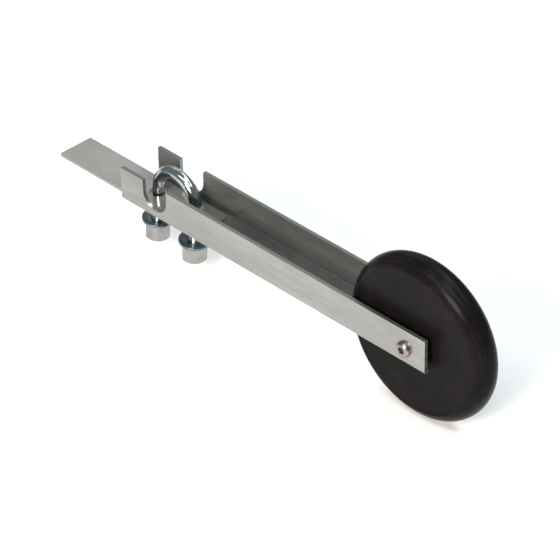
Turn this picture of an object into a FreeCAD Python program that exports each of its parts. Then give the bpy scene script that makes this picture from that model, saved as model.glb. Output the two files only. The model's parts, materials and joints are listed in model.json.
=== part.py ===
import FreeCAD, Part
import math
import os
import Sketcher

# Clamp-on gate wheel. The origin is the centre of the gate's tube where it lies in the notches of the
# channel. +X runs along the channel towards the wheel, +Y along the gate's tube, +Z out of the channel.
doc = FreeCAD.newDocument("gate_wheel")

# Driving dimensions in millimetres and degrees: alias, value, meaning.
dimensions = [
    ("sheetThickness", 3.0, "steel sheet of the channel"),
    ("channelWidth", 40.0, "outside, across the flanges"),
    ("channelHeight", 28.3, "outside, web to flange edge"),
    ("channelLength", 302.7, "overall"),
    ("bendRadius", 3.5, "outside of the channel's two bends"),
    ("innerBendRadius", 0.5, "inside of the channel's two bends"),
    ("seatRadius", 12.2, "half-round bottom of the notch for the gate's tube"),
    ("seatToTongueEnd", 35.8, "tube centre to the channel's tongue end"),
    ("seatHeight", 19.0, "tube centre above the web's underside"),
    ("barWidth", 30.0, "flat tongue bar"),
    ("barThickness", 3.0, "flat tongue bar"),
    ("barLength", 149.0, "flat tongue bar"),
    ("barOverhang", 71.6, "bar beyond the channel's tongue end"),
    ("barOffset", 0.5, "gap between the bar and the near flange"),
    ("barCornerRadius", 4.5, "rounded corners on the bar's inner end"),
    ("legSpacing", 39.0, "U-bolt legs, centre to centre"),
    ("legHoleDiameter", 13.2, "holes in the web and the bar for the legs"),
    ("holeOffset", 1.8, "centre of the two leg holes past the tube centre"),
    ("rodDiameter", 9.4, "plain round bar of the U-bolt"),
    ("threadDiameter", 10.0, "threaded part of the legs"),
    ("threadLength", 33.0, "threaded part of the legs"),
    ("legLength", 45.5, "from the bend's centre to the leg's end"),
    ("threadChamfer", 1.0, "end of a threaded leg"),
    ("boltLean", 4.5, "loose U-bolt leaning towards the wheel, degrees"),
    ("boltCentreX", 2.4, "bend's centre past the tube centre"),
    ("boltCentreZ", -8.1, "bend's centre above the tube centre"),
    ("legNutAcrossFlats", 18.0, "lock nut on a leg"),
    ("legNutHeight", 15.0, "lock nut on a leg"),
    ("legNutBore", 10.1, "lock nut on a leg, smooth bore at the thread's crest"),
    ("legRingDiameter", 14.0, "nylon ring in a leg's nut"),
    ("legRingHeight", 3.0, "nylon ring in a leg's nut"),
    ("legNutDropA", 31.5, "nut's upper face below the bend's centre, tongue-side leg"),
    ("legNutDropB", 29.5, "nut's upper face below the bend's centre, wheel-side leg"),
    ("legWasherDiameter", 24.0, "washer on a leg"),
    ("legWasherBore", 10.5, "washer on a leg"),
    ("legWasherThickness", 2.0, "washer on a leg"),
    ("wheelDiameter", 127.0, "over the tread"),
    ("wheelWidth", 22.6, "over the two flat faces"),
    ("faceRadius", 55.0, "edge of the wheel's flat face"),
    ("hubRadius", 9.3, "raised boss around the wheel's bore"),
    ("hubWidth", 30.4, "over the two bosses"),
    ("wheelBore", 12.1, "running on the sleeve"),
    ("axleToWheelEnd", 18.9, "axle to the channel's wheel end"),
    ("axleHeight", 12.9, "axle above the web's underside"),
    ("axleHole", 8.2, "holes in the flanges for the axle"),
    ("slotWidth", 30.0, "slot in the web that the wheel runs in"),
    ("slotLength", 87.0, "slot in the web, from the channel's wheel end"),
    ("slotCornerRadius", 3.0, "inner corners of the slot"),
    ("sleeveDiameter", 12.0, "spacer tube on the axle"),
    ("sleeveBore", 8.1, "spacer tube on the axle"),
    ("thrustDiameter", 18.0, "thrust washer beside the hub"),
    ("thrustBore", 12.1, "thrust washer beside the hub"),
    ("thrustThickness", 1.5, "thrust washer beside the hub"),
    ("axleDiameter", 8.0, "axle bolt"),
    ("axleLength", 50.0, "axle bolt, under the head"),
    ("axleHeadDiameter", 12.0, "axle bolt's button head"),
    ("axleHeadHeight", 3.6, "axle bolt's button head"),
    ("axleSocket", 5.0, "hex socket across flats"),
    ("axleSocketDepth", 2.6, "hex socket"),
    ("axleWasherDiameter", 16.0, "washer under the axle nut"),
    ("axleWasherBore", 8.4, "washer under the axle nut"),
    ("axleWasherThickness", 1.6, "washer under the axle nut"),
    ("axleNutAcrossFlats", 13.0, "axle's lock nut"),
    ("axleNutHeight", 8.0, "axle's lock nut"),
    ("axleNutBore", 8.1, "axle's lock nut, smooth bore at the thread's crest"),
    ("axleRingDiameter", 11.0, "nylon ring in the axle's nut"),
    ("axleRingHeight", 2.2, "nylon ring in the axle's nut"),
    ("legNutTurnA", -44.0, "tongue-side nut, corner turned from +X, degrees"),
    ("legNutTurnB", -38.0, "wheel-side nut, corner turned from +X, degrees"),
    ("nutRounding", 0.16, "a nut's rounded outer end, as a share of its width across flats"),
    ("collarHeight", 1.0, "lip that keeps a nylon ring in its nut"),
    ("axleChamfer", 1.0, "end of the axle bolt"),
    ("axleHeadRim", 1.6, "straight rim of the button head"),
    ("axleHeadTop", 8.0, "flat top of the button head, across"),
    ("axleHeadDome", 2.6, "radius of the button head's dome"),
    ("axleSocketTurn", 10.0, "hex socket's corner, turned about the axle, degrees"),
]

sheet = doc.addObject("Spreadsheet::Sheet", "sheet")
for row, (alias, value, meaning) in enumerate(dimensions, start=1):
    sheet.set("A%d" % row, alias)
    sheet.set("B%d" % row, str(value))
    sheet.set("C%d" % row, meaning)
    sheet.setAlias("B%d" % row, alias)
doc.recompute()

# A sketch's own axes and origin, as constraints name them.
horizontalAxis = -1
verticalAxis = -2
origin = (-1, 1)
subParts = []


def number(expression):
    """What an expression is worth now, to start a sketch close to its solution."""
    return float(sheet.evalExpression(expression))


def newBody(label, x="0", y="0", z="0", angle="0", axis=FreeCAD.Vector(0, 1, 0)):
    """A sub-part's body, placed by expressions and turned by an angle about an axis."""
    body = doc.addObject("PartDesign::Body", label)
    body.Label = label
    body.Placement = FreeCAD.Placement(FreeCAD.Vector(), FreeCAD.Rotation(axis, 1.0))
    for direction, expression in (("x", x), ("y", y), ("z", z)):
        body.setExpression("Placement.Base." + direction, expression)
    body.setExpression("Placement.Rotation.Angle", angle + " * 1 deg")
    subParts.append(body)
    return body


def newSketch(body, name, role, offset=None):
    """A sketch on one of the body's own origin planes, moved along its normal by an expression."""
    sketch = body.newObject("Sketcher::SketchObject", name)
    plane = [item for item in body.Origin.OriginFeatures if item.Role == role][0]
    sketch.AttachmentSupport = [(plane, "")]
    sketch.MapMode = "FlatFace"
    if offset:
        sketch.setExpression("AttachmentOffset.Base.z", offset)
    return sketch


def bind(sketch, expression, *constraint):
    """Add a dimension whose value is an expression."""
    index = sketch.addConstraint(Sketcher.Constraint(*constraint, number(expression)))
    sketch.setExpression("Constraints[%d]" % index, expression)


def bindPoint(sketch, element, end, x, y):
    """Hold a point at two expressions from the sketch's origin; None keeps it on that axis."""
    for kind, expression, axis in (("DistanceX", x, verticalAxis), ("DistanceY", y, horizontalAxis)):
        if expression is None:
            sketch.addConstraint(Sketcher.Constraint("PointOnObject", element, end, axis))
        else:
            bind(sketch, expression, kind, *origin, element, end)


def place(x, y):
    """A point in a sketch where two expressions put it; None is zero."""
    return FreeCAD.Vector(number(x) if x else 0.0, number(y) if y else 0.0, 0)


def addCircle(sketch, x, y, diameter):
    circle = Part.Circle(place(x, y), FreeCAD.Vector(0, 0, 1), number(diameter) / 2)
    element = sketch.addGeometry(circle)
    bindPoint(sketch, element, 3, x, y)
    bind(sketch, diameter, "Diameter", element)


def addOutline(sketch, points, arcs=None):
    """A closed outline through points given as expressions. arcs maps the number of a side to the
    radius of the arc that replaces it, with the side of the chord that it bulges to (+1 is left)."""
    arcs = arcs or {}
    count = len(points)
    corners = [place(*point) for point in points]
    ends = []
    for side, start in enumerate(corners):
        finish = corners[(side + 1) % count]
        if side not in arcs:
            ends.append((sketch.addGeometry(Part.LineSegment(start, finish)), 1, 2))
            continue
        radius, bulge = number(arcs[side][0]), arcs[side][1]
        chord = finish - start
        left = FreeCAD.Vector(-chord.y, chord.x, 0).normalize()
        rise = radius - math.sqrt(max(radius ** 2 - (chord.Length / 2) ** 2, 0))
        middle = (start + finish) / 2 + left * (bulge * rise)
        arc = Part.Arc(start, middle, finish)
        element = sketch.addGeometry(arc)
        startsFirst = (sketch.getPoint(element, 1) - start).Length < (sketch.getPoint(element, 2) - start).Length
        ends.append((element, 1, 2) if startsFirst else (element, 2, 1))
    for side in range(count):
        this, following = ends[side], ends[(side + 1) % count]
        sketch.addConstraint(Sketcher.Constraint("Coincident", this[0], this[2], following[0], following[1]))
        bindPoint(sketch, this[0], this[1], *points[side])
        if side in arcs:
            bind(sketch, arcs[side][0], "Radius", this[0])


def addRectangle(sketch, left, bottom, right, top):
    addOutline(sketch, [(left, bottom), (right, bottom), (right, top), (left, top)])


def addHexagon(sketch, acrossFlats, turn="0"):
    """A hexagon about the sketch's origin, its first corner turned from the first axis by degrees."""
    radius = "(%s) / (2 * cos(30 * 1 deg))" % acrossFlats
    angles = ["(%s + %d) * 1 deg" % (turn, 60 * corner) for corner in range(6)]
    addOutline(sketch, [("%s * cos(%s)" % (radius, angle), "%s * sin(%s)" % (radius, angle))
                        for angle in angles])


def addFeature(body, kind, name, sketch, reverse=False, **expressions):
    """A pad, pocket, revolution or groove of a sketch, its sizes bound to expressions."""
    feature = body.newObject("PartDesign::" + kind, name)
    feature.Profile = sketch
    feature.Reversed = reverse
    for quantity, expression in expressions.items():
        feature.setExpression(quantity, expression)
    sketch.Visibility = False
    return feature


def cutThrough(body, name, sketch):
    """A pocket that runs through the whole body, both ways from its sketch."""
    before = body.Shape.Volume
    pocket = addFeature(body, "Pocket", name, sketch)
    pocket.Type = "ThroughAll"
    pocket.SideType = "Symmetric"
    doc.recompute()
    if not body.Shape.Volume < before:
        raise RuntimeError(name + " cuts nothing")


def turn(body, kind, name, sketch, axis):
    """A revolution or groove of a sketch through a full turn about one of the sketch's axes."""
    feature = addFeature(body, kind, name, sketch)
    feature.ReferenceAxis = (sketch, [axis])
    feature.Angle = 360
    doc.recompute()
    return feature


def roundEdges(body, name, radius, chosen, kind="Fillet"):
    """A fillet or chamfer on the edges of the body's tip that a test chooses."""
    doc.recompute()
    tip = body.Tip
    names = ["Edge%d" % (index + 1) for index, edge in enumerate(tip.Shape.Edges) if chosen(edge)]
    feature = body.newObject("PartDesign::" + kind, name)
    feature.Base = (tip, names)
    feature.setExpression("Radius" if kind == "Fillet" else "Size", radius)
    doc.recompute()


def isAlong(edge, direction):
    """Whether an edge is straight and lies along a direction."""
    if edge.Curve.TypeId != "Part::GeomLine":
        return False
    return abs(edge.Curve.Direction.dot(direction)) > 0.999


def near(value, target):
    return abs(value - target) < 0.01


def makeChannel():
    """U-channel: x from its tongue end, y from its middle, z from the web's underside."""
    body = newBody("channel", x="-sheet.seatToTongueEnd", z="-sheet.seatHeight")
    alongX = FreeCAD.Vector(1, 0, 0)
    halfWidth = number("sheet.channelWidth / 2")
    sheetThickness = number("sheet.sheetThickness")

    section = newSketch(body, "channelSection", "YZ_Plane")
    addRectangle(section, "-sheet.channelWidth / 2", None, "sheet.channelWidth / 2", "sheet.channelHeight")
    addFeature(body, "Pad", "channelBlock", section, Length="sheet.channelLength")
    doc.recompute()

    trough = newSketch(body, "troughSection", "YZ_Plane")
    innerHalf = "sheet.channelWidth / 2 - sheet.sheetThickness"
    addRectangle(trough, "-(%s)" % innerHalf, "sheet.sheetThickness", innerHalf,
                 "sheet.channelHeight + sheet.sheetThickness")
    cutThrough(body, "trough", trough)

    roundEdges(body, "outerBends", "sheet.bendRadius",
               lambda edge: isAlong(edge, alongX) and near(edge.CenterOfMass.z, 0)
               and near(abs(edge.CenterOfMass.y), halfWidth))
    roundEdges(body, "innerBends", "sheet.innerBendRadius",
               lambda edge: isAlong(edge, alongX) and near(edge.CenterOfMass.z, sheetThickness)
               and near(abs(edge.CenterOfMass.y), halfWidth - sheetThickness))

    notchBottom = newSketch(body, "notchBottomOutline", "XZ_Plane")
    addCircle(notchBottom, "sheet.seatToTongueEnd", "sheet.seatHeight", "2 * sheet.seatRadius")
    cutThrough(body, "notchBottoms", notchBottom)
    notchSides = newSketch(body, "notchSidesOutline", "XZ_Plane")
    addRectangle(notchSides, "sheet.seatToTongueEnd - sheet.seatRadius", "sheet.seatHeight",
                 "sheet.seatToTongueEnd + sheet.seatRadius", "sheet.channelHeight + sheet.sheetThickness")
    cutThrough(body, "notchSides", notchSides)

    slot = newSketch(body, "wheelSlotOutline", "XY_Plane")
    addRectangle(slot, "sheet.channelLength - sheet.slotLength", "-sheet.slotWidth / 2",
                 "sheet.channelLength + sheet.sheetThickness", "sheet.slotWidth / 2")
    cutThrough(body, "wheelSlot", slot)
    slotEnd = number("sheet.channelLength - sheet.slotLength")
    roundEdges(body, "slotCorners", "sheet.slotCornerRadius",
               lambda edge: isAlong(edge, FreeCAD.Vector(0, 0, 1)) and near(edge.CenterOfMass.x, slotEnd))

    legHoles = newSketch(body, "legHolesInWeb", "XY_Plane")
    for sign in ("-", "+"):
        addCircle(legHoles, "sheet.seatToTongueEnd + sheet.holeOffset %s sheet.legSpacing / 2" % sign, None,
                  "sheet.legHoleDiameter")
    cutThrough(body, "legHoles", legHoles)

    axleHoles = newSketch(body, "axleHolesOutline", "XZ_Plane")
    addCircle(axleHoles, "sheet.channelLength - sheet.axleToWheelEnd", "sheet.axleHeight", "sheet.axleHole")
    cutThrough(body, "axleHoles", axleHoles)


def makeTongueBar():
    """Flat bar: x from its outer end, y from its middle, z from its underside."""
    shift = "(sheet.channelWidth / 2 - sheet.sheetThickness - sheet.barOffset - sheet.barWidth / 2)"
    body = newBody("tongue_bar", x="-sheet.seatToTongueEnd - sheet.barOverhang", y="-" + shift,
                   z="sheet.sheetThickness - sheet.seatHeight")
    outline = newSketch(body, "barOutline", "XY_Plane")
    addRectangle(outline, None, "-sheet.barWidth / 2", "sheet.barLength", "sheet.barWidth / 2")
    addFeature(body, "Pad", "bar", outline, Length="sheet.barThickness")
    barLength = number("sheet.barLength")
    roundEdges(body, "barCorners", "sheet.barCornerRadius",
               lambda edge: isAlong(edge, FreeCAD.Vector(0, 0, 1)) and near(edge.CenterOfMass.x, barLength))
    holes = newSketch(body, "legHolesInBar", "XY_Plane")
    middle = "sheet.barOverhang + sheet.seatToTongueEnd + sheet.holeOffset"
    for sign in ("-", "+"):
        addCircle(holes, "%s %s sheet.legSpacing / 2" % (middle, sign), shift, "sheet.legHoleDiameter")
    cutThrough(body, "barHoles", holes)


def makeUBolt():
    """U-bolt: origin at the bend's centre, legs down -Z, leaning with the whole U."""
    body = newBody("u_bolt", x="sheet.boltCentreX", z="sheet.boltCentreZ", angle="sheet.boltLean")
    radius = number("sheet.legSpacing / 2")
    path = newSketch(body, "rodPath", "XZ_Plane")
    legLeft = path.addGeometry(Part.LineSegment(place("-sheet.legSpacing / 2", "-sheet.legLength"),
                                                FreeCAD.Vector(-radius, 0, 0)))
    bend = path.addGeometry(Part.Arc(FreeCAD.Vector(radius, 0, 0), FreeCAD.Vector(0, radius, 0),
                                     FreeCAD.Vector(-radius, 0, 0)))
    legRight = path.addGeometry(Part.LineSegment(FreeCAD.Vector(radius, 0, 0),
                                                 place("sheet.legSpacing / 2", "-sheet.legLength")))
    path.addConstraint(Sketcher.Constraint("Coincident", bend, 3, *origin))
    bindPoint(path, bend, 1, "sheet.legSpacing / 2", None)
    path.addConstraint(Sketcher.Constraint("PointOnObject", bend, 2, horizontalAxis))
    path.addConstraint(Sketcher.Constraint("Coincident", legRight, 1, bend, 1))
    path.addConstraint(Sketcher.Constraint("Coincident", legLeft, 2, bend, 2))
    for leg, lowerEnd in ((legLeft, 1), (legRight, 2)):
        path.addConstraint(Sketcher.Constraint("Vertical", leg))
        bind(path, "-sheet.legLength", "DistanceY", *origin, leg, lowerEnd)
    section = newSketch(body, "rodSection", "XY_Plane", "-sheet.legLength")
    addCircle(section, "-sheet.legSpacing / 2", None, "sheet.rodDiameter")
    doc.recompute()
    rod = body.newObject("PartDesign::AdditivePipe", "rod")
    rod.Profile = section
    rod.Spine = (path, ["Edge1", "Edge2", "Edge3"])
    rod.Transition = "Right corner"
    doc.recompute()
    threads = newSketch(body, "threadSections", "XY_Plane", "-sheet.legLength")
    for sign in ("-", ""):
        addCircle(threads, sign + "sheet.legSpacing / 2", None, "sheet.threadDiameter")
    addFeature(body, "Pad", "threads", threads, Length="sheet.threadLength")
    legEnd = -number("sheet.legLength")
    roundEdges(body, "legEnds", "sheet.threadChamfer",
               lambda edge: edge.Curve.TypeId == "Part::GeomCircle" and near(edge.CenterOfMass.z, legEnd),
               kind="Chamfer")


def legPlace(side, drop):
    """Where a point of a leg, at a drop below the bend's centre, lies in the part's frame."""
    lean = "(sheet.boltLean * 1 deg)"
    x = "sheet.boltCentreX %s sheet.legSpacing / 2 * cos(%s) - (%s) * sin(%s)" % (side, lean, drop, lean)
    opposite = "-" if side == "+" else "+"
    z = "sheet.boltCentreZ %s sheet.legSpacing / 2 * sin(%s) - (%s) * cos(%s)" % (opposite, lean, drop, lean)
    return {"x": x, "z": z, "angle": "sheet.boltLean"}


def makeWasher(label, place, diameter, bore, thickness):
    """Plain washer: its top face in the local XY plane, its body below."""
    body = newBody(label, **place)
    outline = newSketch(body, label + "Outline", "XY_Plane")
    addCircle(outline, None, None, diameter)
    addCircle(outline, None, None, bore)
    addFeature(body, "Pad", label + "Disc", outline, reverse=True, Length=thickness)


def makeLockNut(label, place, acrossFlats, height, bore, ringDiameter, ringHeight, turned="0"):
    """Lock nut: bearing face in the local XY plane, body below, with a closed groove near its
    lower end that holds the nylon ring. A collar one millimetre high keeps the ring in."""
    body = newBody(label, **place)
    outline = newSketch(body, label + "Hexagon", "XY_Plane")
    addHexagon(outline, acrossFlats, turned)
    addFeature(body, "Pad", label + "Block", outline, reverse=True, Length=height)
    doc.recompute()

    corner = "(%s) / (2 * cos(30 * 1 deg))" % acrossFlats
    shoulder = newSketch(body, label + "Rounding", "XZ_Plane")
    rounding = "(%s * sheet.nutRounding)" % acrossFlats
    addOutline(shoulder, [("%s + 1" % corner, "-(%s) - 1" % height),
                          ("%s + 1" % corner, "-(%s) + %s" % (height, rounding)),
                          (corner, "-(%s) + %s" % (height, rounding)),
                          ("%s - %s" % (corner, rounding), "-(%s)" % height),
                          ("%s - %s" % (corner, rounding), "-(%s) - 1" % height)],
               {2: (rounding, -1)})
    turn(body, "Groove", label + "RoundedEnd", shoulder, "V_Axis")
    chamfer = newSketch(body, label + "BearingEdge", "XZ_Plane")
    addOutline(chamfer, [("%s + 1" % corner, "1"), ("%s / 2 * 0.95 - 1" % acrossFlats, "1"),
                         ("%s / 2 * 0.95" % acrossFlats, None),
                         ("%s + 1" % corner, "-(%s + 1 - %s / 2 * 0.95) * tan(25 * 1 deg)"
                          % (corner, acrossFlats))])
    turn(body, "Groove", label + "BearingChamfer", chamfer, "V_Axis")

    hole = newSketch(body, label + "BoreOutline", "XY_Plane")
    addCircle(hole, None, None, bore)
    cutThrough(body, label + "Bore", hole)
    collar = "sheet.collarHeight"
    lip = "(%s) / 2 + sheet.collarHeight" % bore
    top = "-(%s) + %s + (%s)" % (height, collar, ringHeight)
    seat = newSketch(body, label + "RingSeat", "XZ_Plane")
    inner = "(%s) / 2 - 1" % bore
    addOutline(seat, [(inner, "-(%s) - 1" % height), (lip, "-(%s) - 1" % height),
                      (lip, "-(%s) + %s" % (height, collar)),
                      ("(%s) / 2" % ringDiameter, "-(%s) + %s" % (height, collar)),
                      ("(%s) / 2" % ringDiameter, top), (inner, top)])
    turn(body, "Groove", label + "RingGroove", seat, "V_Axis")


def makeLockRing(label, place, height, bore, ringDiameter, ringHeight):
    """Nylon ring, in the same local frame as its nut."""
    body = newBody(label, **place)
    outline = newSketch(body, label + "Outline", "XY_Plane", "-(%s) + sheet.collarHeight" % height)
    addCircle(outline, None, None, ringDiameter)
    addCircle(outline, None, None, bore)
    addFeature(body, "Pad", label + "Disc", outline, Length=ringHeight)


def makeClampHardware():
    """Washer, lock nut and nylon ring on each leg of the U-bolt."""
    for letter, side, turned in (("a", "-", "sheet.legNutTurnA"), ("b", "+", "sheet.legNutTurnB")):
        drop = "sheet.legNutDrop" + letter.upper()
        washerPlace = legPlace(side, drop + " - sheet.legWasherThickness")
        nutPlace = legPlace(side, drop)
        makeWasher("leg_washer_" + letter, washerPlace, "sheet.legWasherDiameter", "sheet.legWasherBore",
                   "sheet.legWasherThickness")
        makeLockNut("leg_nut_" + letter, nutPlace, "sheet.legNutAcrossFlats", "sheet.legNutHeight",
                    "sheet.legNutBore", "sheet.legRingDiameter", "sheet.legRingHeight", turned)
        makeLockRing("leg_ring_" + letter, nutPlace, "sheet.legNutHeight", "sheet.legNutBore",
                     "sheet.legRingDiameter", "sheet.legRingHeight")


def axlePlace(y):
    """A place on the wheel's axle, local +Z turned to point at the near side."""
    return {"x": "sheet.channelLength - sheet.axleToWheelEnd - sheet.seatToTongueEnd", "y": y,
            "z": "sheet.axleHeight - sheet.seatHeight", "angle": "90", "axis": FreeCAD.Vector(1, 0, 0)}


def makeWheel():
    """Disc wheel turned about local Z: two flat faces, a raised hub and a tread that is one arc."""
    body = newBody("wheel", **axlePlace("0"))
    profile = newSketch(body, "wheelProfile", "XZ_Plane")
    bore = "sheet.wheelBore / 2"
    hub = "sheet.hubRadius"
    halfHub = "sheet.hubWidth / 2"
    halfWheel = "sheet.wheelWidth / 2"
    rise = "(sheet.wheelDiameter / 2 - sheet.faceRadius)"
    treadRadius = "((%s) ^ 2 + %s ^ 2) / (2 * %s)" % (halfWheel, rise, rise)
    addOutline(profile, [(bore, "-" + halfHub), (hub, "-" + halfHub), (hub, "-" + halfWheel),
                         ("sheet.faceRadius", "-" + halfWheel), ("sheet.faceRadius", halfWheel),
                         (hub, halfWheel), (hub, halfHub), (bore, halfHub)],
               {3: (treadRadius, -1)})
    turn(body, "Revolution", "wheelDisc", profile, "V_Axis")


def makeAxleSleeve():
    """Spacer tube between the flanges, which the wheel turns on."""
    inner = "(sheet.channelWidth - 2 * sheet.sheetThickness)"
    body = newBody("axle_sleeve", **axlePlace(inner + " / 2"))
    outline = newSketch(body, "sleeveOutline", "XY_Plane")
    addCircle(outline, None, None, "sheet.sleeveDiameter")
    addCircle(outline, None, None, "sheet.sleeveBore")
    addFeature(body, "Pad", "sleeveTube", outline, Length=inner)


def makeAxleBolt():
    """Button-head bolt: local origin under the head, head on the near side (+Z), shank down -Z."""
    body = newBody("axle_bolt", **axlePlace("-sheet.channelWidth / 2"))
    profile = newSketch(body, "boltProfile", "XZ_Plane")
    shank = "sheet.axleDiameter / 2"
    rim = "sheet.axleHeadDiameter / 2"
    point = "sheet.axleChamfer"
    addOutline(profile, [(None, "-sheet.axleLength"), ("%s - %s" % (shank, point), "-sheet.axleLength"),
                         (shank, "-sheet.axleLength + " + point), (shank, None), (rim, None),
                         (rim, "sheet.axleHeadRim"), ("sheet.axleHeadTop / 2", "sheet.axleHeadHeight"),
                         (None, "sheet.axleHeadHeight")],
               {5: ("sheet.axleHeadDome", -1)})
    turn(body, "Revolution", "boltBlank", profile, "V_Axis")
    socket = newSketch(body, "socketHexagon", "XY_Plane", "sheet.axleHeadHeight")
    addHexagon(socket, "sheet.axleSocket", "sheet.axleSocketTurn")
    before = body.Shape.Volume
    addFeature(body, "Pocket", "socket", socket, Length="sheet.axleSocketDepth")
    doc.recompute()
    if not body.Shape.Volume < before:
        raise RuntimeError("the socket cuts nothing")


def makeAxleHardware():
    """Thrust washers inside the flanges; washer, lock nut and nylon ring on the far end."""
    inner = "sheet.channelWidth / 2 - sheet.sheetThickness"
    washer = ("sheet.thrustDiameter", "sheet.thrustBore", "sheet.thrustThickness")
    makeWasher("thrust_washer_near", axlePlace("-(%s)" % inner), *washer)
    makeWasher("thrust_washer_far", axlePlace(inner + " - sheet.thrustThickness"), *washer)
    makeWasher("axle_washer", axlePlace("sheet.channelWidth / 2"), "sheet.axleWasherDiameter",
               "sheet.axleWasherBore", "sheet.axleWasherThickness")
    nutPlace = axlePlace("sheet.channelWidth / 2 + sheet.axleWasherThickness")
    makeLockNut("axle_nut", nutPlace, "sheet.axleNutAcrossFlats", "sheet.axleNutHeight", "sheet.axleNutBore",
                "sheet.axleRingDiameter", "sheet.axleRingHeight")
    makeLockRing("axle_ring", nutPlace, "sheet.axleNutHeight", "sheet.axleNutBore", "sheet.axleRingDiameter",
                 "sheet.axleRingHeight")


makeChannel()
makeTongueBar()
makeUBolt()
makeClampHardware()
makeWheel()
makeAxleSleeve()
makeAxleBolt()
makeAxleHardware()
doc.recompute()

for item in doc.Objects:
    if "Invalid" in item.State or "Error" in item.State:
        raise RuntimeError("%s: %s" % (item.Name, item.State))
os.makedirs("parts", exist_ok=True)
for part in subParts:
    shape = part.Shape
    if shape.isNull() or not shape.isValid() or len(shape.Solids) != 1:
        raise RuntimeError(part.Label + " is not one valid solid")
    shape.exportStep("parts/%s.step" % part.Label)
    box = shape.BoundBox
    print("%-20s %9.1f mm3  x %7.1f %7.1f  y %6.1f %6.1f  z %6.1f %6.1f"
          % (part.Label, shape.Volume, box.XMin, box.XMax, box.YMin, box.YMax, box.ZMin, box.ZMax))
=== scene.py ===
import json
import math

import bmesh
import bpy
from mathutils import Matrix, Vector


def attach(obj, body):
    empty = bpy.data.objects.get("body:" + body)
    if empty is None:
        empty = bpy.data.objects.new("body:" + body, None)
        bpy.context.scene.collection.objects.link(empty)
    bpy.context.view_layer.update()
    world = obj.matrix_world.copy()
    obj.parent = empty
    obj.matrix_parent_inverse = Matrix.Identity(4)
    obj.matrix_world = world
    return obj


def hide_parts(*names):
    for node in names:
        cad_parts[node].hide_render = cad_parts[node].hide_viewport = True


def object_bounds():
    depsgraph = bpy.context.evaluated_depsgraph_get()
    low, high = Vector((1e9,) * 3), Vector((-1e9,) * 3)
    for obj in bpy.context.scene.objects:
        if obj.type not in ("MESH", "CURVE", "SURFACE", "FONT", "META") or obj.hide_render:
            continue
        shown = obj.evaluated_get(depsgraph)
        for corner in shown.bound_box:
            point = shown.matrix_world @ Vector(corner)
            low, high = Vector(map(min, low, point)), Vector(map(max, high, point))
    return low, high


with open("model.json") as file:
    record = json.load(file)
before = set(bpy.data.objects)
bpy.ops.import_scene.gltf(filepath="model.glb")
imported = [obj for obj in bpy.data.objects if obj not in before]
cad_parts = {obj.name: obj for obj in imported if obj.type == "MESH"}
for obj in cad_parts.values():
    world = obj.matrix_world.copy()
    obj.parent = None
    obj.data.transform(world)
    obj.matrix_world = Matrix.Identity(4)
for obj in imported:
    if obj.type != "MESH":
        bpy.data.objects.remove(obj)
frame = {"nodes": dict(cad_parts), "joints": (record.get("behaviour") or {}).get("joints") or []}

# Gate wheel: a pressed steel arm with a tongue bar, a loose U-bolt and a disc wheel on a bolt axle.
# Everything is in metres in the part's own frame, with the gate tube's centre at the origin.
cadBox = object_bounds()
nodes = frame["nodes"]
joints = {joint["name"]: joint for joint in frame["joints"]}
mm = 0.001

axlePoint = Vector(joints["wheel_spin"]["pos_m"])
alongChannel = Vector((1, 0, 0))
toFarSide = Vector((0, 1, 0))
boltAxis = Vector(joints["u_bolt_slide"]["axis"]).normalized()
legPoints = {letter: Vector(joints["nut_%s_turn" % letter]["pos_m"]) for letter in "ab"}
legMiddle = (legPoints["a"] + legPoints["b"]) / 2
legSpread = legPoints["b"] - legPoints["a"]


# a socket that can be used in sums
class Wire:
    def __init__(self, graph, socket):
        self.graph = graph
        self.socket = socket

    def maths(self, operation, first, second=0.0):
        return self.graph.add("ShaderNodeMath", {"operation": operation}, {0: first, 1: second})

    def __add__(self, other):
        return self.maths("ADD", self, other)

    def __sub__(self, other):
        return self.maths("SUBTRACT", self, other)

    def __rsub__(self, other):
        return self.maths("SUBTRACT", other, self)

    def __mul__(self, other):
        return self.maths("MULTIPLY", self, other)

    def __pow__(self, other):
        return self.maths("POWER", self, other)

    def __rpow__(self, other):
        return self.maths("POWER", other, self)

    def largest(self, other):
        return self.maths("MAXIMUM", self, other)

    # 0 below low, 1 above high, smooth between
    def step(self, low, high):
        return self.graph.add("ShaderNodeMapRange", {"interpolation_type": "SMOOTHSTEP"},
                              {"Value": self, "From Min": low, "From Max": high})

    __radd__ = __add__
    __rmul__ = __mul__


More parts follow.
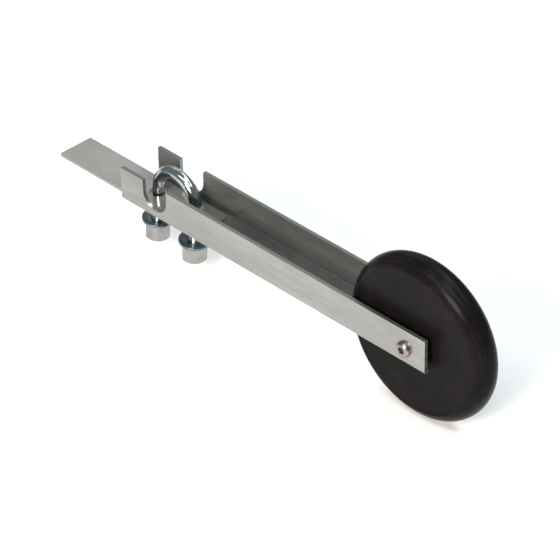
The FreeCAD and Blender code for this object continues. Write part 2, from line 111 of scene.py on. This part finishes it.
class Graph:
    def __init__(self, name):
        self.material = bpy.data.materials.new(name)
        self.material.use_nodes = True
        self.tree = self.material.node_tree
        self.tree.nodes.clear()

    # any node: its type, its settings, then its sockets by name or number
    def add(self, kind, settings=None, sockets=None, output=0):
        node = self.tree.nodes.new(kind)
        for name, value in (settings or {}).items():
            setattr(node, name, value)
        for name, value in (sockets or {}).items():
            if isinstance(value, Wire):
                self.tree.links.new(value.socket, node.inputs[name])
            else:
                node.inputs[name].default_value = value
        return Wire(self, node.outputs[output]) if node.outputs else None

    def point(self):
        return self.add("ShaderNodeTexCoord", output="Object")

    def place(self, scale=(1, 1, 1), turn=(0, 0, 0)):
        return self.add("ShaderNodeMapping", None, {"Vector": self.point(), "Scale": scale, "Rotation": turn})

    def vector(self, operation, first, second=(0, 0, 0), output="Vector"):
        return self.add("ShaderNodeVectorMath", {"operation": operation}, {0: first, 1: second}, output)

    def noise(self, scale, detail=3.0, roughness=0.5, where=None, stretch=(1, 1, 1)):
        return self.add("ShaderNodeTexNoise", None,
                        {"Vector": where or self.place(stretch), "Scale": scale, "Detail": detail,
                         "Roughness": roughness})

    def blend(self, factor, first, second):
        return self.add("ShaderNodeMix", {"data_type": "RGBA"}, {0: factor, 6: first, 7: second}, output=2)

    def bump(self, height, distance, strength):
        return self.add("ShaderNodeBump", None,
                        {"Height": height, "Distance": distance, "Strength": strength})

    def finish(self, **sockets):
        shader = self.add("ShaderNodeBsdfPrincipled", None,
                          {key.replace("_", " "): value for key, value in sockets.items()})
        self.add("ShaderNodeOutputMaterial", None, {"Surface": shader})
        return self.material


def rgb(red, green, blue):
    return (red, green, blue, 1.0)


def makePiece(name, mesh, body, slotName, material, *replaced):
    piece = bpy.data.objects.new(name, mesh)
    bpy.context.scene.collection.objects.link(piece)
    mesh.materials.clear()
    mesh.materials.append(material)
    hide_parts(*replaced)
    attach(piece, body)
    return piece


# a mesh with its faces turned outwards, smooth except at edges sharper than an angle in degrees
def solidMesh(name, vertices, faces, sharpAngle):
    mesh = bpy.data.meshes.new(name)
    mesh.from_pydata([tuple(vertex) for vertex in vertices], [], faces)
    work = bmesh.new()
    work.from_mesh(mesh)
    bmesh.ops.recalc_face_normals(work, faces=work.faces)
    work.to_mesh(mesh)
    work.free()
    mesh.polygons.foreach_set("use_smooth", [True] * len(mesh.polygons))
    mesh.set_sharp_from_angle(angle=math.radians(sharpAngle))
    return mesh


# how far from its centre a hexagon reaches at an angle
def hexagonReach(acrossFlats, angle):
    sixth = math.pi / 3
    return acrossFlats / 2 / math.cos((angle % sixth) - sixth / 2)


# a turned part. Each row is (place along the axis, radius, across flats or None for a plain circle);
# the rows close on themselves, or each end has a flat cap
def turned(name, rows, centre, axis, across, segments=96, sharpAngle=30, closed=True):
    side = axis.cross(across).normalized()
    vertices = []
    for along, radius, flats in rows:
        for step in range(segments):
            angle = 2 * math.pi * step / segments
            reach = min(radius, hexagonReach(flats, angle)) if flats else radius
            vertices.append(centre + axis * along
                            + across * (reach * math.cos(angle)) + side * (reach * math.sin(angle)))
    faces = []
    count = len(rows)
    for row in range(count if closed else count - 1):
        first, second = row * segments, (row + 1) % count * segments
        for step in range(segments):
            after = (step + 1) % segments
            faces.append((first + step, first + after, second + after, second + step))
    if not closed:
        faces.append(tuple(reversed(range(segments))))
        faces.append(tuple(range((count - 1) * segments, count * segments)))
    return solidMesh(name, vertices, faces, sharpAngle)


# where a CAD node lies about an axis: lowest and highest place along it, nearest and furthest reach from it
def measure(node, origin, axis):
    places, reaches = [], []
    for vertex in nodes[node].data.vertices:
        offset = vertex.co - origin
        along = offset.dot(axis)
        places.append(along)
        reaches.append((offset - axis * along).length)
    return min(places), max(places), min(reaches), max(reaches)


def arcRows(middle, radius, start, finish, steps):
    rows = []
    for step in range(steps + 1):
        angle = math.radians(start + (finish - start) * step / steps)
        rows.append((middle[0] + radius * math.cos(angle), middle[1] + radius * math.sin(angle), None))
    return rows


print("channel and tongue bar")
sheetFinish = {
    "light": rgb(0.315, 0.315, 0.300),
    "dark": rgb(0.238, 0.241, 0.230),
    # dark colour of the stained spots, also used for the painted shade along the flanges' tops
    "stainAndShade": rgb(0.10, 0.10, 0.09),
    "grain": 900.0,          # fine speckle of the zinc, per metre
    "blotch": 45.0,          # soft cloudy patches, per metre
    "streak": 260.0,         # rolling streaks, per metre across them
    "spot": 110.0,           # stained spots, per metre
    "scratch": 700.0,        # handling scratches, per metre across them
    "relief": 0.04 * mm,
    "roughest": 0.30,
    "smoothest": 0.18,
    "metallic": 0.78,
    "stains": 0.0,           # how strong the stained spots are
    "cutAndShadeHeight": 8.9 * mm,     # above this height lie the sheared edges of the flanges; the sheet is darkened there, partly as painted shade
    "cutAndShadeFade": 0.3 * mm,
    "edgeRadius": 0.35 * mm,
}
barFinish = dict(sheetFinish, metallic=0.55, stains=0.85, roughest=0.20, smoothest=0.10,
                 light=rgb(0.29, 0.287, 0.272), dark=rgb(0.225, 0.224, 0.21), edgeRadius=0.4 * mm)


# dull galvanised steel, rolled along X
def galvanised(name, finish):
    graph = Graph(name)
    cloud = graph.noise(finish["blotch"], 5.0, 0.6, stretch=(0.35, 1, 1))
    speckle = graph.noise(finish["grain"], 2.0, 0.6)
    streak = graph.noise(finish["streak"], 4.0, 0.55, stretch=(0.06, 1, 1))
    tone = (cloud * 0.5 + streak * 0.3 + speckle * 0.2).step(0.35, 0.65)
    colour = graph.blend(tone, finish["dark"], finish["light"])
    spots = graph.noise(finish["spot"], 6.0, 0.7, stretch=(0.6, 1, 1)).step(0.62, 0.74) * finish["stains"]
    colour = graph.blend(spots, colour, finish["stainAndShade"])
    level = graph.add("ShaderNodeSeparateXYZ", None, {0: graph.point()}, output="Z")
    # painted shade: everything above a height is darkened towards the stain colour, over the flanges' sheared
    # tops and the top band of their faces
    cutAndShade = level.step(finish["cutAndShadeHeight"], finish["cutAndShadeHeight"] + finish["cutAndShadeFade"])
    colour = graph.blend(cutAndShade * 0.6, colour, finish["stainAndShade"])
    slanted = graph.place((0.03, 1, 1), (0, 0, 0.35))
    scratch = graph.noise(finish["scratch"], 2.0, 0.4, where=slanted).step(0.66, 0.72)
    roughness = finish["smoothest"] + (finish["roughest"] - finish["smoothest"]) * cloud.step(0.3, 0.7)
    roughness = roughness + spots * 0.2 + scratch * 0.1 + cutAndShade * 0.15
    normal = graph.bump(speckle * 0.4 + streak * 0.5 - scratch * 0.6, finish["relief"], 0.5)
    return graph.finish(Base_Color=colour, Metallic=finish["metallic"], Roughness=roughness, Normal=normal)


# the CAD shape with every sharp edge broken, as deburring and handling leave it
def softened(node, name, width):
    mesh = nodes[node].data.copy()
    mesh.name = name
    work = bmesh.new()
    work.from_mesh(mesh)
    bmesh.ops.remove_doubles(work, verts=work.verts, dist=0.001 * mm)
    bmesh.ops.dissolve_limit(work, angle_limit=math.radians(0.5), verts=work.verts, edges=work.edges,
                             use_dissolve_boundaries=False)
    sharp = [edge for edge in work.edges
             if edge.is_manifold and edge.calc_face_angle() > math.radians(35)]
    bmesh.ops.bevel(work, geom=sharp, offset=width, offset_type="OFFSET", segments=3, profile=0.5,
                    affect="EDGES", clamp_overlap=True)
    work.normal_update()
    work.to_mesh(mesh)
    work.free()
    mesh.polygons.foreach_set("use_smooth", [True] * len(mesh.polygons))
    return mesh


for node, name, slotName, materialName, finish in (
        ("channel", "channel_shell", "galvanised_sheet", "galvanisedSheet", sheetFinish),
        ("tongue_bar", "tongue_bar_flat", "galvanised_bar", "galvanisedBar", barFinish)):
    steel = galvanised(materialName, finish)
    piece = makePiece(name, softened(node, name, finish["edgeRadius"]), "frame", slotName, steel, node)
    modifier = piece.modifiers.new("evenNormals", "WEIGHTED_NORMAL")
    modifier.mode = "FACE_AREA"
    modifier.weight = 100


print("U-bolt, washers and lock nuts")
plateTexture = {
    "cloud": 160.0,          # soft patches, per metre
    "drawn": 1400.0,         # fine texture left by drawing or turning, per metre
    "relief": 0.02 * mm,
}
rodFinish = {
    "light": rgb(0.54, 0.55, 0.57),
    "dark": rgb(0.34, 0.36, 0.38),
    "roughness": 0.10,
    "lines": 900.0,          # drawing lines, per metre
    "lineDepth": 0.05 * mm,
    "lineStretch": 0.03,     # how much closer the lines' texture lies across them than along them
}
washerFinish = {"light": rgb(0.22, 0.26, 0.275), "dark": rgb(0.13, 0.16, 0.175), "roughness": 0.16}
nutFinish = {"light": rgb(0.42, 0.42, 0.40), "dark": rgb(0.31, 0.31, 0.30), "roughness": 0.10}
nylonFinish = {
    "light": rgb(0.86, 0.85, 0.81),
    "dark": rgb(0.74, 0.73, 0.68),
    "roughness": 0.42,
    "cloud": 700.0,
    "grain": 3000.0,
    "relief": 0.02 * mm,
}


# bright or satin zinc plate on turned and drawn steel
def zincPlate(name, finish):
    graph = Graph(name)
    cloud = graph.noise(plateTexture["cloud"], 4.0, 0.6)
    drawn = graph.noise(plateTexture["drawn"], 3.0, 0.5)
    colour = graph.blend((cloud * 0.7 + drawn * 0.3).step(0.32, 0.68), finish["dark"], finish["light"])
    roughness = finish["roughness"] + cloud.step(0.35, 0.75) * 0.10 + drawn.step(0.4, 0.8) * 0.05
    normal = graph.bump(drawn, plateTexture["relief"], 0.35)
    return graph.finish(Base_Color=colour, Metallic=1.0, Roughness=roughness, Normal=normal)


# bright zinc on drawn bar, with fine lines that follow the rod down one leg, round the bend and up the other
def drawnRod(name, finish, middle, outward, axis):
    graph = Graph(name)
    offset = graph.vector("SUBTRACT", graph.point(), middle)

    def along(direction):
        return graph.vector("DOT_PRODUCT", offset, direction, "Value")

    across, rise = along(outward), along(axis).largest(0.0)
    reach = (across * across + rise * rise) ** 0.5
    place = graph.add("ShaderNodeCombineXYZ", None,
                      {"X": reach, "Y": along(toFarSide), "Z": along(axis) * finish["lineStretch"]})
    drawn = graph.noise(finish["lines"], 3.0, 0.6, where=place)
    cloud = graph.noise(plateTexture["cloud"], 4.0, 0.6)
    colour = graph.blend((cloud * 0.5 + drawn * 0.5).step(0.32, 0.68), finish["dark"], finish["light"])
    roughness = finish["roughness"] + cloud.step(0.35, 0.75) * 0.08
    normal = graph.bump(drawn, finish["lineDepth"], 1.0)
    return graph.finish(Base_Color=colour, Metallic=1.0, Roughness=roughness, Normal=normal)


# natural nylon of a locking ring
def nylon(name, finish):
    graph = Graph(name)
    cloud = graph.noise(finish["cloud"], 3.0, 0.5)
    colour = graph.blend(cloud, finish["dark"], finish["light"])
    normal = graph.bump(graph.noise(finish["grain"], 2.0), finish["relief"], 0.4)
    return graph.finish(Base_Color=colour, Roughness=finish["roughness"] + cloud * 0.12, Normal=normal)


uBoltSizes = {
    "shank": 4.7 * mm,       # radius of the plain bar
    "crest": 4.97 * mm,      # radius of the thread's crest
    "root": 4.6 * mm,        # radius of the thread's root
    "crestShare": 0.3,       # share of half a pitch that the crest takes
    "flankShare": 0.55,      # share of half a pitch that the flank takes
    "pitch": 1.5 * mm,
    "threaded": 33.0 * mm,   # threaded length from each leg's end
    "runOut": 2.2 * mm,
    "tip": 4.05 * mm,        # radius of each leg's chamfered end
    "spacing": 1.2 * mm,     # between rings of the mesh on the plain bar
    "around": 48,
    "perPitch": 8,
    "sharpAngle": 40,
}


# radius of the rod at a distance from the nearer leg's end and at a turn, 0 to 1, round it
def rodRadius(sizes, fromEnd, spiral):
    phase = abs(2 * (spiral % 1.0) - 1)
    flank = min(max((phase - sizes["crestShare"]) / sizes["flankShare"], 0), 1)
    thread = sizes["crest"] + (sizes["root"] - sizes["crest"]) * flank
    fade = min(max((sizes["threaded"] - fromEnd) / sizes["runOut"], 0), 1)
    radius = sizes["shank"] + (thread - sizes["shank"]) * fade
    return min(radius, sizes["tip"] + fromEnd)


def makeUBolt(sizes):
    bend = legSpread.length / 2
    outward = legSpread.normalized()
    legLength = -measure("u_bolt", legMiddle, boltAxis)[0]
    bendLength = math.pi * bend
    total = 2 * legLength + bendLength
    stations = []
    place = 0.0
    while place < total / 2:
        stations.append(place)
        place += sizes["pitch"] / sizes["perPitch"] if place < sizes["threaded"] else sizes["spacing"]
    stations += [total - station for station in reversed(stations)]
    vertices, faces = [], []
    around = sizes["around"]
    for station in stations:
        if station <= legLength:
            point = legMiddle - outward * bend - boltAxis * (legLength - station)
            inward = outward
        elif station >= legLength + bendLength:
            point = legMiddle + outward * bend - boltAxis * (station - legLength - bendLength)
            inward = -outward
        else:
            angle = math.pi - (station - legLength) / bend
            inward = -(outward * math.cos(angle) + boltAxis * math.sin(angle))
            point = legMiddle - inward * bend
        for step in range(around):
            share = step / around
            radius = rodRadius(sizes, min(station, total - station), station / sizes["pitch"] - share)
            angle = 2 * math.pi * share
            vertices.append(point + (inward * math.cos(angle) + toFarSide * math.sin(angle)) * radius)
    for row in range(len(stations) - 1):
        for step in range(around):
            after = (step + 1) % around
            faces.append((row * around + step, row * around + after,
                          (row + 1) * around + after, (row + 1) * around + step))
    faces.append(tuple(reversed(range(around))))
    faces.append(tuple(range((len(stations) - 1) * around, len(stations) * around)))
    return solidMesh("u_bolt_rod", vertices, faces, sizes["sharpAngle"])


brightZinc = drawnRod("brightZinc", rodFinish, legMiddle, legSpread.normalized(), boltAxis)
blueZinc = zincPlate("blueZinc", washerFinish)
nutZinc = zincPlate("nutZinc", nutFinish)
ringNylon = nylon("ringNylon", nylonFinish)
makePiece("u_bolt_rod", makeUBolt(uBoltSizes), "clamp", "bright_zinc_rod", brightZinc, "u_bolt")

washerLooks = {
    "rolled": 0.3 * mm,      # the edge that the punch rolled over
    "broken": 0.12 * mm,     # the sharper edge
}
nutLooks = {
    "rounding": 0.16,        # rounded outer end, as a share of the width across flats
    "bearing": 0.95,         # turned face that bears on the washer, as a share of the same
    "chamferAngle": 25,
    "cornerReach": 0.992,    # worn corners, as a share of sharp ones
    "collar": 1.0 * mm,
    "lipEdge": 0.2 * mm,
    "boreEdge": 0.3 * mm,
    "segments": 144,
}
ringEdge = 0.15 * mm


# a stamped washer: one edge rolled over by the punch, the other sharper
def washerRows(low, high, bore, rim):
    rolled, broken = washerLooks["rolled"], washerLooks["broken"]
    return ([(low, bore + broken, None), (low, rim - broken, None), (low + broken, rim, None)]
            + arcRows((high - rolled, rim - rolled), rolled, 90, 0, 4)
            + arcRows((high - rolled, bore + rolled), rolled, 0, -90, 4)
            + [(low + broken, bore, None)])


# a plain ring or tube with both ends broken
def ringRows(low, high, bore, rim):
    return [(low, bore + ringEdge, None), (low, rim - ringEdge, None), (low + ringEdge, rim, None),
            (high - ringEdge, rim, None), (high, rim - ringEdge, None), (high, bore + ringEdge, None),
            (high - ringEdge, bore, None), (low + ringEdge, bore, None)]


# a lock nut: hexagon with a turned bearing face, a rounded outer end and a lip over the nylon ring
def nutRows(looks, top, bottom, bore, flats, ringRadius, ringHeight):
    corner = flats / math.sqrt(3)
    reach = corner * looks["cornerReach"]
    rounding = looks["rounding"] * flats
    face = looks["bearing"] * flats / 2
    shoulder = top - (corner - face) * math.tan(math.radians(looks["chamferAngle"]))
    lip = bore + looks["collar"]
    seat = bottom + looks["collar"]
    rows = [(top, bore + looks["boreEdge"], None), (top, face, None), (shoulder, reach, flats)]
    rows += [(shoulder - (shoulder - bottom - rounding) * share, reach, flats) for share in (0.33, 0.66, 1.0)]
    rows += [(bottom + rounding - rounding * math.sin(math.radians(angle)),
              reach - rounding * (1 - math.cos(math.radians(angle))), flats) for angle in range(10, 91, 8)]
    rows += [(bottom, lip + looks["lipEdge"], None), (bottom + looks["lipEdge"], lip, None),
             (seat, lip, None), (seat, ringRadius, None), (seat + ringHeight, ringRadius, None),
             (seat + ringHeight, bore, None), (top - looks["boreEdge"], bore, None)]
    return rows


# the direction of a hexagonal node's corner about an axis, from its furthest vertex
def cornerDirection(node, origin, axis):
    offsets = [vertex.co - origin for vertex in nodes[node].data.vertices]
    aways = [offset - axis * offset.dot(axis) for offset in offsets]
    return max(aways, key=lambda away: away.length).normalized()


# a washer, a ring or a tube, in the size of the node that it replaces
def makeRound(name, node, body, slotName, material, origin, axis, across, rowsOf):
    rows = rowsOf(*measure(node, origin, axis))
    makePiece(name, turned(name, rows, origin, axis, across), body, slotName, material, node)


def makeNut(name, node, ringNode, body, origin, axis, across):
    low, high, bore, corner = measure(node, origin, axis)
    ringLow, ringHigh, _, ringRim = measure(ringNode, origin, axis)
    rows = nutRows(nutLooks, high, low, bore, corner * math.sqrt(3), ringRim, ringHigh - ringLow)
    mesh = turned(name, rows, origin, axis, across, nutLooks["segments"])
    makePiece(name, mesh, body, "zinc_nut", nutZinc, node)


for letter in "ab":
    leg = legPoints[letter]
    nut = "leg_nut_" + letter
    ring = "leg_ring_" + letter
    washer = "leg_washer_" + letter
    makeRound(washer + "_disc", washer, "washer_" + letter, "blue_zinc_washer", blueZinc, leg, boltAxis,
              toFarSide, washerRows)
    makeNut(nut + "_body", nut, ring, "nut_" + letter, leg, boltAxis, cornerDirection(nut, leg, boltAxis))
    makeRound(ring + "_nylon", ring, "nut_" + letter, "nylon_ring", ringNylon, leg, boltAxis, toFarSide,
              ringRows)


print("wheel")
wheelFinish = {
    "plastic": rgb(0.0056, 0.0050, 0.0050),
    "worn": rgb(0.0145, 0.0125, 0.0118),
    "dust": rgb(0.10, 0.095, 0.09),
    "turning": 1150.0,       # fine tool lines on the faces, per metre of radius
    "cloud": 60.0,           # patches of wear, per metre
    "specks": 900.0,         # specks of dust, per metre
    "grain": 2600.0,         # fine grain, per metre
    "roughness": 0.21,
    "gloss": 0.045,
    "relief": 0.02 * mm,
}
wheelLooks = {
    "face": 55.0 * mm,       # radius of the flat face's edge
    "halfFace": 11.3 * mm,   # flat faces either side of the middle
    "recess": 0.25 * mm,     # how far the turned face lies inside its rim
    "rimWidth": 0.8 * mm,
    "rimEdge": 0.25 * mm,
    "rimDrop": 0.02 * mm,
    "hub": 9.3 * mm,
    "hubFillet": 1.2 * mm,
    "edge": 0.3 * mm,        # broken edges of the hub and the bore
    "ringPitch": 1.9 * mm,
    "ringDepth": 0.085 * mm,
    "wander": 2.2,           # how far the rings' spacing wanders, in radians
    "wanderPitch": 6 * mm,
    "faintest": 0.45,        # depth of the faintest rings, as a share of the deepest
    "faintPitch": 3.1 * mm,
    "samples": 150,
    "treadSteps": 40,
    "around": 256,
    "sharpAngle": 28,
}


# turned black plastic: tool rings, a satin sheen and a few specks of dust
def blackPlastic(name, finish, centre):
    graph = Graph(name)
    fromAxle = graph.vector("SUBTRACT", graph.point(), centre)
    reach = graph.vector("LENGTH", graph.vector("MULTIPLY", fromAxle, (1, 0, 1)), output="Value")
    ringPlace = graph.add("ShaderNodeCombineXYZ", None, {"X": reach * finish["turning"]})
    rings = graph.noise(1.0, where=ringPlace)
    cloud = graph.noise(finish["cloud"], 5.0, 0.6)
    worn = (rings * 0.6 + cloud * 0.4).step(0.45, 0.75)
    colour = graph.blend(worn, finish["plastic"], finish["worn"])
    dust = graph.noise(finish["specks"], 2.0, 0.5).step(0.74, 0.80)
    colour = graph.blend(dust * 0.6, colour, finish["dust"])
    roughness = finish["roughness"] + rings * 0.05 + cloud * 0.05 + dust * 0.2
    grain = graph.noise(finish["grain"], 2.0, 0.5)
    normal = graph.bump(rings + grain * 0.3, finish["relief"], 0.5)
    return graph.finish(Base_Color=colour, Roughness=roughness, Specular_IOR_Level=finish["gloss"],
                        Normal=normal)


def makeWheel(looks):
    low, high, bore, rim = measure("wheel", axlePoint, toFarSide)
    hub, edge, face, halfFace = looks["hub"], looks["edge"], looks["face"], looks["halfFace"]
    rise = rim - face
    tread = (halfFace ** 2 + rise ** 2) / (2 * rise)
    half = math.degrees(math.asin(halfFace / tread))
    floor = halfFace - looks["recess"]

    # depth of the tool rings at a radius: their spacing wanders, and some are fainter
    def ringDepth(radius):
        wander = looks["wander"] * math.sin(radius / looks["wanderPitch"])
        wave = math.sin(2 * math.pi * radius / looks["ringPitch"] + wander)
        strong = 1 - looks["faintest"]
        strength = looks["faintest"] + strong * math.sin(radius / looks["faintPitch"]) ** 2
        return looks["ringDepth"] * (0.5 + 0.5 * wave) * strength

    # one turned face, from the hub out to the rim, on one side of the middle, -1 or 1
    def faceRows(sign):
        rows = [(sign * high, bore + edge, None), (sign * (high - edge), hub, None)]
        inner, outer = hub + looks["hubFillet"], face - looks["rimWidth"]
        rows += [(sign * (floor + looks["hubFillet"] * (1 - math.sin(math.radians(angle)))),
                  hub + looks["hubFillet"] * (1 - math.cos(math.radians(angle))), None)
                 for angle in (0, 30, 60)]
        for step in range(looks["samples"] + 1):
            radius = inner + (outer - inner) * step / looks["samples"]
            rows.append((sign * (floor - ringDepth(radius)), radius, None))
        rows += [(sign * (halfFace - looks["rimDrop"]), outer + looks["rimEdge"], None),
                 (sign * halfFace, face - looks["rimEdge"], None)]
        return rows

    rows = faceRows(-1)
    rows += [(tread * math.sin(math.radians(angle)),
              rim - tread + tread * math.cos(math.radians(angle)), None)
             for angle in [-half + 2 * half * step / looks["treadSteps"]
                           for step in range(looks["treadSteps"] + 1)]]
    rows += list(reversed(faceRows(1)))
    rows += [(high - edge, bore, None), (low + edge, bore, None)]
    return turned("wheel_disc", rows, axlePoint, toFarSide, alongChannel, looks["around"],
                  looks["sharpAngle"])


wheelPlastic = blackPlastic("blackWheelPlastic", wheelFinish, axlePoint)
makePiece("wheel_disc", makeWheel(wheelLooks), "wheel", "black_wheel_plastic", wheelPlastic, "wheel")


print("axle")
axleFinish = {"light": rgb(0.58, 0.58, 0.58), "dark": rgb(0.40, 0.41, 0.42), "roughness": 0.3}
boltFinish = {"light": rgb(0.38, 0.33, 0.315), "dark": rgb(0.22, 0.185, 0.17), "roughness": 0.26}
boltLooks = {
    "shank": 4.0 * mm,
    "headHeight": 3.6 * mm,
    "headRim": 1.6 * mm,
    "headTop": 4.0 * mm,     # radius of the flat on top of the head
    "bulge": 0.42 * mm,      # how far the dome stands out from a plain cone
    "slant": 0.707,          # the bulge's share along the axis and outwards
    "domeSteps": 10,
    "socket": 5.0 * mm,
    "socketDepth": 3.2 * mm,
    "socketMouth": 0.25 * mm,
    "drill": 2.4 * mm,       # radius of the drilled cone at the socket's bottom
    "drillDepth": 0.9 * mm,
    "drillTip": 0.05 * mm,
    "edge": 0.1 * mm,
    "tipLength": 1.0 * mm,   # chamfer at the thread's end
    "tipDepth": 0.9 * mm,
    "around": 96,
}


def makeAxleBolt(looks):
    low, high, _, head = measure("axle_bolt", axlePoint, toFarSide)
    seat = low + looks["headHeight"]
    socket, socketFloor, edge = looks["socket"], low + looks["socketDepth"], looks["edge"]
    rows = [(socketFloor + looks["drillDepth"], looks["drillTip"], None), (socketFloor, looks["drill"], None),
            (socketFloor, socket, socket), (low + looks["socketMouth"], socket, socket),
            (low, looks["headTop"] - edge, None), (low, looks["headTop"], None)]
    sideLow = seat - looks["headRim"]
    for step in range(1, looks["domeSteps"] + 1):
        share = step / looks["domeSteps"]
        bulge = looks["bulge"] * 4 * share * (1 - share) * looks["slant"]
        rows.append((low + (sideLow - low) * share - bulge,
                     looks["headTop"] + (head - looks["headTop"]) * share + bulge, None))
    rows += [(seat - edge, head, None), (seat, head - edge, None), (seat, looks["shank"], None),
             (high - looks["tipLength"], looks["shank"], None),
             (high, looks["shank"] - looks["tipDepth"], None)]
    return turned("axle_bolt_button", rows, axlePoint, toFarSide, alongChannel, looks["around"],
                  closed=False)


axleSteel = zincPlate("axleSteel", axleFinish)
boltSteel = zincPlate("boltSteel", boltFinish)
for name, node, slotName, material, rowsOf in (
        ("axle_sleeve_tube", "axle_sleeve", "axle_steel", axleSteel, ringRows),
        ("thrust_washer_near_disc", "thrust_washer_near", "axle_steel", axleSteel, washerRows),
        ("thrust_washer_far_disc", "thrust_washer_far", "axle_steel", axleSteel, washerRows),
        ("axle_washer_disc", "axle_washer", "blue_zinc_washer", blueZinc, washerRows)):
    makeRound(name, node, "frame", slotName, material, axlePoint, toFarSide, alongChannel, rowsOf)
makeNut("axle_nut_body", "axle_nut", "axle_ring", "frame", axlePoint, -toFarSide, alongChannel)
makeRound("axle_ring_nylon", "axle_ring", "frame", "nylon_ring", ringNylon, axlePoint, toFarSide,
          alongChannel, ringRows)
makePiece("axle_bolt_button", makeAxleBolt(boltLooks), "frame", "stainless_bolt", boltSteel, "axle_bolt")


print("floor, lights and camera")
studio = {
    "air": rgb(0.74, 0.94, 0.98),
    "airStrength": 0.3,
    "floorDark": rgb(0.90, 0.90, 0.90),
    "floorLight": rgb(0.92, 0.92, 0.92),
    "floorCloud": 3.0,       # soft patches of the floor, per metre
    "floorHalf": 6.0,        # half the floor's width in metres
    # each softbox: where it stands, its width and height in metres, its power in watts, its colour
    "softboxes": {
        "nearStrip": ((0.5, -1.0, 2.0), 2.6, 0.4, 18.0, (1.0, 1.0, 1.0)),
        "middleStrip": ((0.5, 0.1, 2.0), 2.6, 0.4, 18.0, (1.0, 1.0, 1.0)),
        "farStrip": ((0.5, 1.2, 2.0), 2.6, 0.4, 18.0, (1.0, 1.0, 1.0)),
        "backSoftbox": ((-1.5, 1.4, 1.4), 1.3, 1.3, 4.5, (1.0, 1.0, 1.0)),
        "frontSoftbox": ((0.55, -1.4, 0.78), 0.60, 0.60, 36.0, (1.0, 0.90, 0.84)),
    },
}
cameraPlace = {
    "azimuth": 45.8,         # degrees round from looking along +Y
    "elevation": 35.84,
    "roll": -0.89,
    "distance": 2.1789,
    "target": Vector((122.09, 0.0, -3.21)) * mm,
    "shiftRight": 9.52 * mm,
    "shiftUp": 15.66 * mm,
    "lens": 199.2,
    "sensor": 36.0,
    "nearest": 0.05,
    "furthest": 50.0,
}


def makeCamera(place):
    azimuth, elevation, roll = (math.radians(place[key]) for key in ("azimuth", "elevation", "roll"))
    back = Vector((math.sin(azimuth) * math.cos(elevation), -math.cos(azimuth) * math.cos(elevation),
                   math.sin(elevation)))
    level = Vector((math.cos(azimuth), math.sin(azimuth), 0))
    upright = back.cross(level)
    right = level * math.cos(roll) + upright * math.sin(roll)
    up = upright * math.cos(roll) - level * math.sin(roll)
    data = bpy.data.cameras.new("camera")
    data.lens = place["lens"]
    data.sensor_width = place["sensor"]
    data.clip_start, data.clip_end = place["nearest"], place["furthest"]
    camera = bpy.data.objects.new("camera", data)
    bpy.context.scene.collection.objects.link(camera)
    shift = right * place["shiftRight"] + up * place["shiftUp"]
    location = place["target"] + back * place["distance"] - shift
    camera.matrix_world = Matrix.Translation(location) @ Matrix((right, up, back)).transposed().to_4x4()
    bpy.context.scene.camera = camera


def makeLight(name, location, target, width, height, power, colour):
    data = bpy.data.lights.new(name, "AREA")
    data.shape = "RECTANGLE"
    data.size, data.size_y = width, height
    data.energy = power
    data.color = colour
    light = bpy.data.objects.new(name, data)
    bpy.context.scene.collection.objects.link(light)
    light.location = location
    light.rotation_euler = (Vector(location) - Vector(target)).to_track_quat("Z", "Y").to_euler()


def makeFloor(setup):
    graph = Graph("paleFloor")
    colour = graph.blend(graph.noise(setup["floorCloud"], 2.0), setup["floorDark"], setup["floorLight"])
    half, level = setup["floorHalf"], cadBox[0].z
    mesh = bpy.data.meshes.new("floor")
    mesh.from_pydata([(-half, -half, level), (half, -half, level), (half, half, level), (-half, half, level)],
                     [], [(0, 1, 2, 3)])
    mesh.materials.append(graph.finish(Base_Color=colour, Roughness=0.7))
    floor = bpy.data.objects.new("floor", mesh)
    bpy.context.scene.collection.objects.link(floor)


def makeStudio(setup):
    world = bpy.data.worlds.new("studioAir")
    world.use_nodes = True
    background = world.node_tree.nodes["Background"]
    background.inputs["Color"].default_value = setup["air"]
    background.inputs["Strength"].default_value = setup["airStrength"]
    bpy.context.scene.world = world
    makeFloor(setup)
    middle = (cadBox[0] + cadBox[1]) / 2
    for name, (location, width, height, power, colour) in setup["softboxes"].items():
        makeLight(name, location, middle, width, height, power, colour)
    bpy.context.scene.view_settings.view_transform = "Standard"


makeStudio(studio)
makeCamera(cameraPlace)
